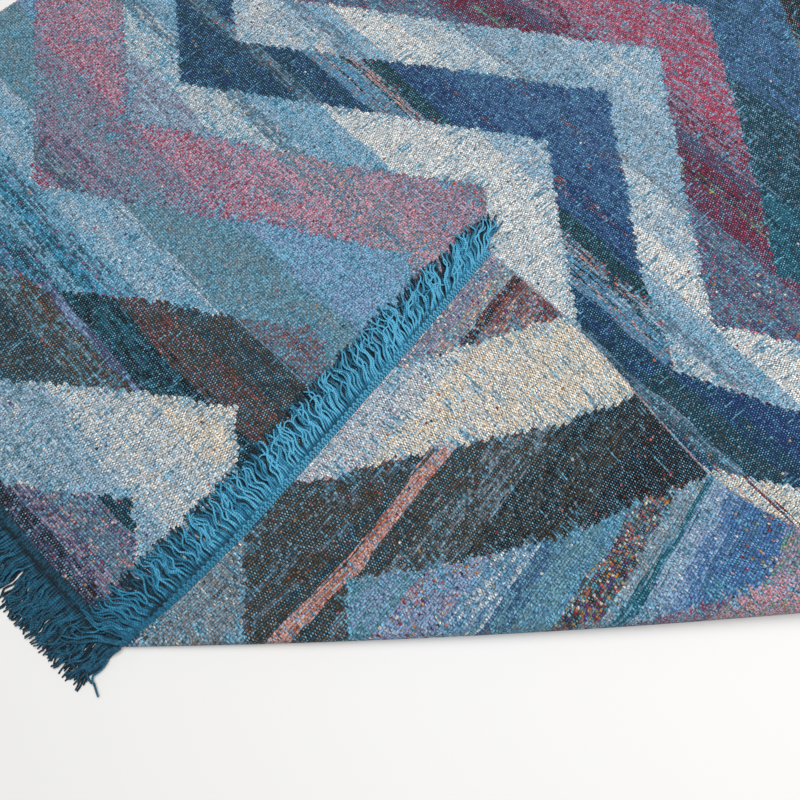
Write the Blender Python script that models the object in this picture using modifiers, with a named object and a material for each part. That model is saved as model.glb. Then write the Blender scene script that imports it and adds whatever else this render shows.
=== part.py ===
"""Flat-woven wool rug lying on a floor with one corner turned over onto it.

Row frame: +X runs along the weft, +Y along the warp, +Z up. The origin is on the floor, under
the middle of the rug's box. The turned corner is the one at +X and -Y.
"""
import math
import random

import bmesh
import bpy
from mathutils import Vector

# The rug as it came off the loom, in metres
WIDTH = 1.6
LENGTH = 2.3
CLOTH = 0.004

# The laid rug is a little out of square: its selvedges weave in and out, and near the turned
# corner the side and the end are drawn in
SELVEDGE_WAVE = 0.004
SELVEDGE_WAVELENGTH = 0.46
SIDE_DRAW = 0.093
SIDE_SPAN = 1.1
END_DRAW = 0.028
END_START = 0.45
END_SPAN = 0.5
END_FADE = 1.0

# The fold runs from the near end to the side in a loop that opens as it goes
FOLD_START = Vector((0.0865, -1.1429))
FOLD_ANGLE = math.radians(49.2)
FOLD_BOW = 0.009
BOW_SPAN = 0.9
LOOP_NEAR = 0.004
LOOP_GROWTH = 0.029
LOOP_REACH = (-0.1, 1.3)
LANDING = 6.0
LIFT = 0.005
RIPPLE = 0.003
RIPPLE_ALONG = 0.34
RIPPLE_ACROSS = 0.27

# Mesh steps of the cloth
CELLS = (16, 23)
END_CUTS = 6
ARC_STEPS = 10
LANDING_STEPS = 7

# Warp fringe: a strip of knots parted from the cloth, and locks of two knots' ends each
GAP = 0.0004
HEADING = 0.009
HEADING_THICK = 0.0034
FRINGE = 0.065
LOCK_PITCH = 0.0156
LOCK_WIDTH = 0.0095
LOCK_LIFT = 0.0043
LOCK_SWAY = 0.005
SHORTEST = 0.82
LOOP_BARE = (0.15, 2.4)
LOOP_STEP = 0.0022
# Sections of a lock: share of its length, share of its width, thickness in metres, sway
LOCK_SECTIONS = ((0.5, 1.1, 0.0034, 1.0), (1.0, 0.6, 0.0022, -1.0))

ALONG = Vector((math.cos(FOLD_ANGLE), math.sin(FOLD_ANGLE)))
ACROSS = Vector((math.sin(FOLD_ANGLE), -math.cos(FOLD_ANGLE)))

COLOURS = {
    "warp_and_weft_wool": ((0.14, 0.25, 0.36, 1.0), 0.95),
    "blue_warp_wool": ((0.03, 0.19, 0.30, 1.0), 0.9),
}


def smooth(value):
    """Cubic step from 0 to 1."""
    value = min(max(value, 0.0), 1.0)
    return value * value * (3.0 - 2.0 * value)


def lay(u, v):
    """Plan place of the loom point (u, v) on the floor, before the corner is turned."""
    from_end = v + LENGTH / 2
    from_side = WIDTH / 2 - u
    wave = 0.5 - 0.5 * math.cos(2 * math.pi * v / SELVEDGE_WAVELENGTH)
    drawn = math.sin(math.pi * min(max(from_end / SIDE_SPAN, 0.0), 1.0)) ** 1.75
    share = min(max((u + WIDTH / 2) / WIDTH, 0.0), 1.0) ** 2
    pulled = 1 - smooth((from_side - END_START) / END_SPAN)
    x = u * (1 - SELVEDGE_WAVE * wave / (WIDTH / 2)) - SIDE_DRAW * drawn * share
    y = v + END_DRAW * pulled * (1 - smooth(from_end / END_FADE))
    return Vector((x, y))


def loop_radius(along):
    """Radius of the fold's loop at a place along the fold."""
    return LOOP_NEAR + LOOP_GROWTH * min(max(along, LOOP_REACH[0]), LOOP_REACH[1])


def bow(along):
    """How far the fold bows outward from a straight line."""
    share = min(max(along / BOW_SPAN, 0.0), 1.0)
    return FOLD_BOW * 4 * share * (1 - share)


def to_fold(place):
    """Plan place as distances along and across the fold."""
    offset = place - FOLD_START
    along = offset.dot(ALONG)
    return along, offset.dot(ACROSS) - bow(along)


def unit_profile():
    """Section of a loop of radius 1, as arc length, reach and height of each point."""
    points = [(0.0, 0.0)]
    for step in range(1, 61):
        turn = math.pi * step / 60
        points.append((math.sin(turn), 1 - math.cos(turn)))
    for step in range(1, 81):
        back = LANDING * step / 80
        points.append((-back, 1 + math.cos(math.pi * back / LANDING)))
    rows = [(0.0, 0.0, 0.0)]
    for (x0, z0), (x1, z1) in zip(points, points[1:]):
        rows.append((rows[-1][0] + math.hypot(x1 - x0, z1 - z0), x1, z1))
    return rows


PROFILE = unit_profile()
LANDED = PROFILE[-1][0]


def profile_at(arc):
    """Reach and height of the unit section at an arc length."""
    if arc <= 0:
        return arc, 0.0
    if arc >= LANDED:
        return -LANDING - (arc - LANDED), 0.0
    for (a0, x0, z0), (a1, x1, z1) in zip(PROFILE, PROFILE[1:]):
        if arc <= a1:
            share = (arc - a0) / (a1 - a0)
            return x0 + (x1 - x0) * share, z0 + (z1 - z0) * share
    return -LANDING, 0.0


def loop_arc(along, across):
    """Arc length round the unit loop of a place given along and across the fold."""
    radius = loop_radius(along)
    return (across + radius) / radius


def fold(along, across):
    """Point of the cloth's middle surface for a place along and across the fold."""
    radius = loop_radius(along)
    arc = loop_arc(along, across)
    reach, height = profile_at(arc)
    turned = smooth(arc / math.pi)
    landed = smooth((arc - LANDED) / LANDED)
    swell = 0.5 + 0.5 * math.sin(2 * math.pi * along / RIPPLE_ALONG) * math.cos(
        2 * math.pi * across / RIPPLE_ACROSS
    )
    plan = FOLD_START + along * ALONG + (radius * (reach - 1) + bow(along)) * ACROSS
    z = CLOTH / 2 + radius * height + LIFT * turned + RIPPLE * swell * landed
    return Vector((plan.x, plan.y, z))


def cloth_point(u, v):
    """Point of the cloth's middle surface for the loom point (u, v)."""
    return fold(*to_fold(lay(u, v)))


def material(name):
    """Principled material of a wool yarn."""
    colour, roughness = COLOURS[name]
    made = bpy.data.materials.new(name)
    made.use_nodes = True
    shader = made.node_tree.nodes["Principled BSDF"]
    shader.inputs["Base Color"].default_value = colour
    shader.inputs["Roughness"].default_value = roughness
    shader.inputs["Metallic"].default_value = 0.0
    return made


def add_object(name, mesh_maker, collection, yarn):
    """Object of a finished bmesh, in its collection and material."""
    mesh = bpy.data.meshes.new(name)
    bmesh.ops.recalc_face_normals(mesh_maker, faces=mesh_maker.faces)
    mesh_maker.to_mesh(mesh)
    mesh_maker.free()
    made = bpy.data.objects.new(name, mesh)
    mesh.materials.append(yarn)
    collection.objects.link(made)
    return made


def ruling_arcs():
    """Arc lengths at which the cloth is creased round the loop and down its landing."""
    arcs = [math.pi * step / ARC_STEPS for step in range(ARC_STEPS + 1)]
    arcs += [
        math.pi + (LANDED - math.pi) * step / LANDING_STEPS
        for step in range(1, LANDING_STEPS + 1)
    ]
    return arcs


def make_field(collection, yarn):
    """The woven cloth: one sheet with its corner turned over."""
    sheet = bmesh.new()
    bmesh.ops.create_grid(sheet, x_segments=CELLS[0], y_segments=CELLS[1], size=0.5)
    ends = [edge for edge in sheet.edges if all(abs(abs(v.co.y) - 0.5) < 1e-6 for v in edge.verts)]
    bmesh.ops.subdivide_edges(sheet, edges=ends, cuts=END_CUTS)
    for vert in sheet.verts:
        along, across = to_fold(lay(vert.co.x * WIDTH, vert.co.y * LENGTH))
        vert.co = Vector((along, across, 0))
    for arc in ruling_arcs():
        # Each ruling is the straight line where across = (arc - 1) * radius
        start = Vector((0, (arc - 1) * LOOP_NEAR, 0))
        normal = Vector((-(arc - 1) * LOOP_GROWTH, 1, 0)).normalized()
        parts = sheet.verts[:] + sheet.edges[:] + sheet.faces[:]
        bmesh.ops.bisect_plane(sheet, geom=parts, dist=1e-6, plane_co=start, plane_no=normal)
    bmesh.ops.triangulate(sheet, faces=sheet.faces)
    for vert in sheet.verts:
        vert.co = fold(vert.co.x, vert.co.y)
    field = add_object("rug_field", sheet, collection, yarn)
    thick = field.modifiers.new("thickness", "SOLIDIFY")
    thick.thickness = CLOTH
    thick.offset = 0.0
    thick.use_even_offset = True
    return field


def edge_frame(u, end):
    """Root point on the end edge, the way its warps leave it, and the way along the edge."""
    step = 0.001
    v = end * LENGTH / 2
    root = cloth_point(u, v)
    outward = (root - cloth_point(u, v - end * step)).normalized()
    sideways = (cloth_point(u + step, v) - cloth_point(u - step, v)).normalized()
    return root, outward, sideways


def strip_corner(u, end, reach, height):
    """Corner of the heading: reach from the cloth's edge, height above its underside."""
    root, outward, sideways = edge_frame(u, end)
    up = sideways.cross(outward) * end
    return root + outward * reach + up * (height - CLOTH / 2)


def heading_cells(first, last, end):
    """Lengths of the heading between loom places, each with or without a lock.

    A lock's length is kept whole. Round the fold's loop there is none, and the cells are short.
    """
    count = round((last - first) / LOCK_PITCH)
    pitch = (last - first) / count
    cells = []
    reached = first
    for index in range(count):
        middle = first + (index + 0.5) * pitch
        arc = loop_arc(*to_fold(lay(middle, end * LENGTH / 2)))
        if LOOP_BARE[0] < arc < LOOP_BARE[1]:
            continue
        cells += bare_cells(reached, middle - LOCK_WIDTH / 2, end)
        cells.append((middle - LOCK_WIDTH / 2, middle + LOCK_WIDTH / 2, True))
        reached = middle + LOCK_WIDTH / 2
    return cells + bare_cells(reached, last, end)


def bare_cells(start, stop, end):
    """Lengths of heading with no lock, short where they pass round the loop."""
    arc = loop_arc(*to_fold(lay((start + stop) / 2, end * LENGTH / 2)))
    near_loop = -1 < arc < LANDED
    count = max(1, math.ceil((stop - start) / LOOP_STEP)) if near_loop else 1
    step = (stop - start) / count
    return [(start + index * step, start + (index + 1) * step, False) for index in range(count)]


def make_fringe(name, first, last, end, floor, seed, collection, yarn):
    """One fringe: the strip of knots along an end edge, with its locks grown out of it."""
    draw = random.Random(seed)
    cells = heading_cells(first, last, end)
    fringe = bmesh.new()
    corners = ((GAP, 0.0), (HEADING, 0.0), (HEADING, HEADING_THICK), (GAP, HEADING_THICK))
    rings = []
    for u in [first] + [right for _, right, _ in cells]:
        rings.append([fringe.verts.new(strip_corner(u, end, *corner)) for corner in corners])
    lock_faces = []
    for (left, right, has_lock), ring, following in zip(cells, rings, rings[1:]):
        for side in range(4):
            turn = (side + 1) % 4
            face = fringe.faces.new((ring[side], ring[turn], following[turn], following[side]))
            if has_lock and side == 1:
                lock_faces.append((face, (left + right) / 2))
    fringe.faces.new(rings[0])
    fringe.faces.new(reversed(rings[-1]))
    for face, u in lock_faces:
        grow_lock(fringe, face, u, end, floor, draw)
    return add_object(name, fringe, collection, yarn)


def grow_lock(fringe, face, u, end, floor, draw):
    """Extrude a lock of warp ends from a face of the heading, in two wavy lengths."""
    _, outward, sideways = edge_frame(u, end)
    level = Vector((outward.x, outward.y, 0)).normalized()
    aside = Vector((sideways.x, sideways.y, 0)).normalized()
    length = (FRINGE - HEADING) * (SHORTEST + (1 - SHORTEST) * draw.random())
    sway = LOCK_SWAY * draw.uniform(-1, 1)
    start = face.calc_center_median()
    for share, breadth, thick, shift in LOCK_SECTIONS:
        middle = start + level * length * share + aside * sway * shift
        face = bmesh.ops.extrude_discrete_faces(fringe, faces=[face])["faces"][0]
        centre = face.calc_center_median()
        for vert in face.verts:
            half = breadth * LOCK_WIDTH / 2
            across = half if (vert.co - centre).dot(aside) > 0 else -half
            rise = thick if vert.co.z > centre.z else 0.0
            place = middle + aside * across
            vert.co = Vector((place.x, place.y, floor + rise))


def crease_u(arc_wanted):
    """Loom place on the near end where the loop has a given arc length."""
    low, high = -WIDTH / 2, WIDTH / 2
    for _ in range(50):
        middle = (low + high) / 2
        if loop_arc(*to_fold(lay(middle, -LENGTH / 2))) < arc_wanted:
            low = middle
        else:
            high = middle
    return (low + high) / 2


def main():
    for old in list(bpy.data.objects):
        bpy.data.objects.remove(old, do_unlink=True)
    rug = bpy.data.collections.new("wool_rug")
    bpy.context.scene.collection.children.link(rug)
    wool = material("warp_and_weft_wool")
    blue = material("blue_warp_wool")
    make_field(rug, wool)
    side = WIDTH / 2
    part_at = crease_u(math.pi / 2)
    seam = GAP / 2
    make_fringe("fringe_far_end", -side, side, 1, 0.0, 11, rug, blue)
    make_fringe("fringe_near_end", -side, part_at - seam, -1, 0.0, 12, rug, blue)
    make_fringe("fringe_turned_corner", part_at + seam, side, -1, LOCK_LIFT, 13, rug, blue)


main()
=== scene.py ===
"""Looks of a flat-woven wool rug lying on a pale floor with one corner turned over onto it."""
import math
import random

import bmesh
import bpy
import numpy as np
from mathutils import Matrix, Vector


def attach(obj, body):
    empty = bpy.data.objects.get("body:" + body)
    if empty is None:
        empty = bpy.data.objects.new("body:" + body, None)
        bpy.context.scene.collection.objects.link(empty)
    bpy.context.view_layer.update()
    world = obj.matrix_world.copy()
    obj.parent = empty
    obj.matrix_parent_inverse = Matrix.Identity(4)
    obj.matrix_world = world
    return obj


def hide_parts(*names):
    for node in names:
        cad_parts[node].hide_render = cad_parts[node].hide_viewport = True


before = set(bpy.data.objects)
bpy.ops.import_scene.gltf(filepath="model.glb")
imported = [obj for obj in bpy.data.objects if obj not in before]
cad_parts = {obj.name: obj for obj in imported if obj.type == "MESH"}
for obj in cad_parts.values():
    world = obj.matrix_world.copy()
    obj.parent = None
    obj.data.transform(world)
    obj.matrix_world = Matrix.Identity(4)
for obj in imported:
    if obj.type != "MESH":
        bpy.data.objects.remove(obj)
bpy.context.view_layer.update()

# The woven cloth: one sheet of thick plain weave, wool both ways, as it came off the loom. It
# lies flat, a little out of square, and its near right corner is turned over in a loop. Its loom
# coordinates are u along the weft and v along the warp, in metres from the rug's middle.
WIDTH = 1.6
LENGTH = 2.3
CLOTH = 0.004
# The selvedges wave a little, and the right side and the right of the near end are drawn in
SELVEDGE_WAVE = 0.004
SELVEDGE_WAVELENGTH = 0.46
SIDE_DRAW = 0.093
SIDE_SPAN = 1.1
SIDE_CURVE = 1.75
END_DRAW = 0.028
END_START = 0.45
END_SPAN = 0.5
END_FADE = 1.0
# The fold bows outward, its loop widens away from the near end, and the flap comes down past
# the loop and lies on the rug with a slight ripple
FOLD_START = Vector((0.0865, -1.1429))
FOLD_ANGLE = math.radians(49.2)
FOLD_BOW = 0.009
BOW_SPAN = 0.9
LOOP_NEAR = 0.004
LOOP_GROWTH = 0.029
LOOP_REACH = (-0.1, 1.3)
LOOP_CUTS = 60
LANDING = 6.0
LANDING_CUTS = 80
LIFT = 0.005
RIPPLE = 0.003
RIPPLE_ALONG = 0.34
RIPPLE_ACROSS = 0.27
ALONG = Vector((math.cos(FOLD_ANGLE), math.sin(FOLD_ANGLE)))
ACROSS = Vector((math.sin(FOLD_ANGLE), -math.cos(FOLD_ANGLE)))


def smooth(value):
    """Cubic step from 0 to 1."""
    value = min(max(value, 0.0), 1.0)
    return value * value * (3.0 - 2.0 * value)


def lay(u, v):
    """Plan place of the loom point (u, v) on the floor, before the corner is turned."""
    from_end = v + LENGTH / 2
    from_side = WIDTH / 2 - u
    wave = 0.5 - 0.5 * math.cos(2 * math.pi * v / SELVEDGE_WAVELENGTH)
    drawn = math.sin(math.pi * min(max(from_end / SIDE_SPAN, 0.0), 1.0)) ** SIDE_CURVE
    share = min(max((u + WIDTH / 2) / WIDTH, 0.0), 1.0) ** 2
    pulled = 1 - smooth((from_side - END_START) / END_SPAN)
    x = u * (1 - SELVEDGE_WAVE * wave / (WIDTH / 2)) - SIDE_DRAW * drawn * share
    y = v + END_DRAW * pulled * (1 - smooth(from_end / END_FADE))
    return Vector((x, y))


def loop_radius(along):
    """Radius of the fold's loop at a place along the fold."""
    return LOOP_NEAR + LOOP_GROWTH * min(max(along, LOOP_REACH[0]), LOOP_REACH[1])


def bow(along):
    """How far the fold bows outward from a straight line."""
    share = min(max(along / BOW_SPAN, 0.0), 1.0)
    return FOLD_BOW * 4 * share * (1 - share)


def to_fold(place):
    """Plan place as distances along and across the fold."""
    offset = place - FOLD_START
    along = offset.dot(ALONG)
    return along, offset.dot(ACROSS) - bow(along)


def unit_profile():
    """Section of a loop of radius 1, as arc length, reach and height of each point."""
    points = [(0.0, 0.0)]
    for step in range(1, LOOP_CUTS + 1):
        turn = math.pi * step / LOOP_CUTS
        points.append((math.sin(turn), 1 - math.cos(turn)))
    for step in range(1, LANDING_CUTS + 1):
        back = LANDING * step / LANDING_CUTS
        points.append((-back, 1 + math.cos(math.pi * back / LANDING)))
    rows = [(0.0, 0.0, 0.0)]
    for (x0, z0), (x1, z1) in zip(points, points[1:]):
        rows.append((rows[-1][0] + math.hypot(x1 - x0, z1 - z0), x1, z1))
    return rows


PROFILE = unit_profile()
LANDED = PROFILE[-1][0]


def profile_at(arc):
    """Reach and height of the unit section at an arc length."""
    if arc <= 0:
        return arc, 0.0
    if arc >= LANDED:
        return -LANDING - (arc - LANDED), 0.0
    for (a0, x0, z0), (a1, x1, z1) in zip(PROFILE, PROFILE[1:]):
        if arc <= a1:
            share = (arc - a0) / (a1 - a0)
            return x0 + (x1 - x0) * share, z0 + (z1 - z0) * share
    return -LANDING, 0.0


def loop_arc(along, across):
    """Arc length round the unit loop of a place given along and across the fold."""
    radius = loop_radius(along)
    return (across + radius) / radius


def fold(along, across):
    """Point of the cloth's middle surface for a place along and across the fold."""
    radius = loop_radius(along)
    arc = loop_arc(along, across)
    reach, height = profile_at(arc)
    turned = smooth(arc / math.pi)
    landed = smooth((arc - LANDED) / LANDED)
    swell = 0.5 + 0.5 * math.sin(2 * math.pi * along / RIPPLE_ALONG) * math.cos(
        2 * math.pi * across / RIPPLE_ACROSS
    )
    plan = FOLD_START + along * ALONG + (radius * (reach - 1) + bow(along)) * ACROSS
    z = CLOTH / 2 + radius * height + LIFT * turned + RIPPLE * swell * landed
    return Vector((plan.x, plan.y, z))


def cloth_point(u, v):
    """Point of the cloth's middle surface for the loom point (u, v)."""
    return fold(*to_fold(lay(u, v)))


# Mesh steps of the cloth, the depth and pitch of the weft's turns at the selvedges, the rounding
# of the cloth's rim, and how near two places count as one
CELL = 0.012
ARC_STEPS = 22
LANDING_STEPS = 18
TURN_DEPTH = 0.0014
TURN_PITCH = 0.007
SELVEDGE_CUTS = 5
END_CUTS = 2
RIM = 0.0013
RIM_CUTS = 2
RIM_ANGLE = math.radians(55)
TOUCHING = 1e-6


def weave_cloth():
    """The sheet, laid and folded, with its loom coordinates as its UV map."""
    sheet = bmesh.new()
    bmesh.ops.create_grid(
        sheet, x_segments=round(WIDTH / CELL), y_segments=round(LENGTH / CELL), size=0.5
    )
    for axis, cuts in ((0, SELVEDGE_CUTS), (1, END_CUTS)):
        rim = [
            e for e in sheet.edges if all(abs(abs(v.co[axis]) - 0.5) < TOUCHING for v in e.verts)
        ]
        bmesh.ops.subdivide_edges(sheet, edges=rim, cuts=cuts)
    loom_u = sheet.verts.layers.float.new("loom_u")
    loom_v = sheet.verts.layers.float.new("loom_v")
    for vert in sheet.verts:
        u = vert.co.x * WIDTH
        v = vert.co.y * LENGTH
        if abs(abs(vert.co.x) - 0.5) < TOUCHING:
            drawn = TURN_DEPTH * (1 - abs(math.sin(math.pi * v / TURN_PITCH)))
            u -= math.copysign(drawn, u)
        vert[loom_u] = u
        vert[loom_v] = v
        vert.co = Vector((*to_fold(lay(u, v)), 0))
    arcs = [math.pi * step / ARC_STEPS for step in range(ARC_STEPS + 1)]
    arcs += [math.pi + (LANDED - math.pi) * (k + 1) / LANDING_STEPS for k in range(LANDING_STEPS)]
    for arc in arcs:
        start = Vector((0, (arc - 1) * LOOP_NEAR, 0))
        normal = Vector((-(arc - 1) * LOOP_GROWTH, 1, 0)).normalized()
        parts = sheet.verts[:] + sheet.edges[:] + sheet.faces[:]
        bmesh.ops.bisect_plane(sheet, geom=parts, dist=TOUCHING, plane_co=start, plane_no=normal)
    loom = sheet.loops.layers.uv.new("loom")
    for face in sheet.faces:
        face.smooth = True
        for corner in face.loops:
            corner[loom].uv = (corner.vert[loom_u], corner.vert[loom_v])
    for vert in sheet.verts:
        vert.co = fold(vert.co.x, vert.co.y)
    mesh = bpy.data.meshes.new("woven_field")
    sheet.to_mesh(mesh)
    sheet.free()
    return mesh


cloth = bpy.data.objects.new("woven_field", weave_cloth())
bpy.context.scene.collection.objects.link(cloth)
thick = cloth.modifiers.new("thickness", "SOLIDIFY")
thick.thickness = CLOTH
thick.offset = 0.0
thick.use_even_offset = True
rounded = cloth.modifiers.new("rim", "BEVEL")
rounded.width = RIM
rounded.segments = RIM_CUTS
rounded.limit_method = "ANGLE"
rounded.angle_limit = RIM_ANGLE


def linear(hex_colour):
    """Linear colour of an sRGB hex value."""
    values = [int(hex_colour[start : start + 2], 16) / 255 for start in (1, 3, 5)]
    return [v / 12.92 if v <= 0.04045 else ((v + 0.055) / 1.055) ** 2.4 for v in values] + [1.0]


def node(tree, kind, *links, **settings):
    """A node with its settings; its links, in a row or by name, are values, sockets or nodes."""
    made = tree.nodes.new(kind)
    for name, value in settings.items():
        setattr(made, name, value)
    by_name = links and isinstance(links[0], dict)
    for name, value in links[0].items() if by_name else enumerate(links):
        if isinstance(value, bpy.types.Node):
            value = next(socket for socket in value.outputs if socket.enabled)
        if isinstance(value, bpy.types.NodeSocket):
            tree.links.new(value, made.inputs[name])
        else:
            made.inputs[name].default_value = value
    return made


def set_stops(ramp, stops, blend="CONSTANT"):
    """Gives a colour ramp its stops, each a place and a colour."""
    line = ramp.color_ramp
    line.interpolation = blend
    line.elements.remove(line.elements[1])
    line.elements[0].position, line.elements[0].color = stops[0]
    for place, colour in stops[1:]:
        line.elements.new(place).color = colour


# The wools of the weft: handspun yarns in lots of a few dye baths, which give the cloth its
# uneven, heathered colour; the warp is one turquoise wool throughout and shows as dots.
WOOL = {
    "black": "#0f0d10",
    "navy": "#1a3162",
    "denim": "#3d5984",
    "mid_blue": "#5385ae",
    "strong_blue": "#4068a0",
    "lilac_blue": "#8b9bc0",
    "pale_blue": "#a2b6c8",
    "ice": "#d8d6d2",
    "white": "#efe6dc",
    "cream": "#ecd8bc",
    "salmon": "#d09480",
    "pink": "#cc8f9c",
    "crimson": "#a82d48",
    "magenta": "#a5487e",
    "maroon": "#6a1a33",
    "rust": "#94492c",
    "orange_red": "#c85434",
    "red_brown": "#63302c",
    "olive": "#40382c",
    "dark_brown": "#20130e",
    "grey": "#80868c",
    "grey_blue": "#64788a",
    "mauve": "#957f92",
    "slate": "#4a4664",
    "teal": "#1a5a6c",
    "dark_teal": "#16323f",
    "bottle": "#15302b",
    "green": "#5f9460",
    "yellow": "#bfaa62",
    "grey_teal": "#648c9a",
    "sky": "#74a9c6",
    "turquoise": "#3b93b9",
}
LOTS = list(WOOL)
# Upper edge of each block of colour, as loom points; the last block ends past the near end
EDGES = {
    "teal": ((-0.8, 0.15), (-0.49, -0.09), (-0.03, 0.25), (0.345, -0.03), (0.8, 0.27)),
    "maroon": ((-0.8, 0.0), (-0.49, -0.24), (-0.03, 0.1), (0.157, -0.051), (0.345, -0.2),
               (0.8, 0.1)),
    "ice": ((-0.8, -0.12), (-0.49, -0.36), (-0.03, -0.02), (0.094, -0.126), (0.202, -0.213),
            (0.304, -0.297), (0.343, -0.321), (0.424, -0.267), (0.8, -0.02)),
    "navy": ((-0.8, -0.25), (-0.49, -0.48), (-0.03, -0.135), (0.034, -0.186), (0.13, -0.261),
             (0.226, -0.339), (0.31, -0.381), (0.358, -0.417), (0.496, -0.345), (0.8, -0.15)),
    "white": ((-0.8, -0.36), (-0.49, -0.59), (-0.027, -0.267), (0.106, -0.369), (0.226, -0.459),
              (0.355, -0.548), (0.508, -0.477), (0.574, -0.426), (0.8, -0.28)),
    "pink": ((-0.8, -0.47), (-0.49, -0.69), (-0.3575, -0.6025), (-0.2, -0.51), (-0.12, -0.455),
             (-0.032, -0.388), (0.345, -0.7), (0.8, -0.42)),
    "blue": ((-0.8, -0.64), (-0.52, -0.836), (-0.4875, -0.8475), (-0.42, -0.8), (-0.37, -0.77),
             (-0.19, -0.643), (-0.105, -0.5925), (-0.02, -0.541), (0.345, -0.86), (0.8, -0.575)),
    "brown": ((-0.8, -0.82), (-0.5, -1.02), (-0.4, -0.955), (-0.335, -0.925), (-0.205, -0.825),
              (-0.1, -0.763), (-0.024, -0.7), (0.3, -0.98), (0.3375, -1.0225), (0.425, -0.95),
              (0.55, -0.865), (0.7, -0.795), (0.8, -0.745)),
    "cream": ((-0.8, -0.98), (-0.49, -1.2), (-0.28, -1.0525), (-0.18, -0.9675), (-0.105, -0.9075),
              (-0.027, -0.857), (0.2025, -1.0575), (0.275, -1.135), (0.345, -1.18),
              (0.4, -1.1225), (0.55, -1.0275), (0.675, -0.9375), (0.8, -0.875)),
    "plum": ((-0.8, -1.12), (-0.49, -1.36), (-0.15, -1.115), (-0.035, -1.027), (0.345, -1.31),
             (0.59, -1.135), (0.69, -1.0775), (0.8, -1.015)),
}
# Blocks beyond the ones above repeat the maroon one's zigzag, each edge so much farther up
FAR_BLOCKS = (
    ("far_brown", 0.3), ("far_cream", 0.46), ("far_blue", 0.59), ("far_pink", 0.75),
    ("far_white", 0.92), ("far_navy", 1.05), ("far_ice", 1.21), ("far_maroon", 1.35),
)
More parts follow.
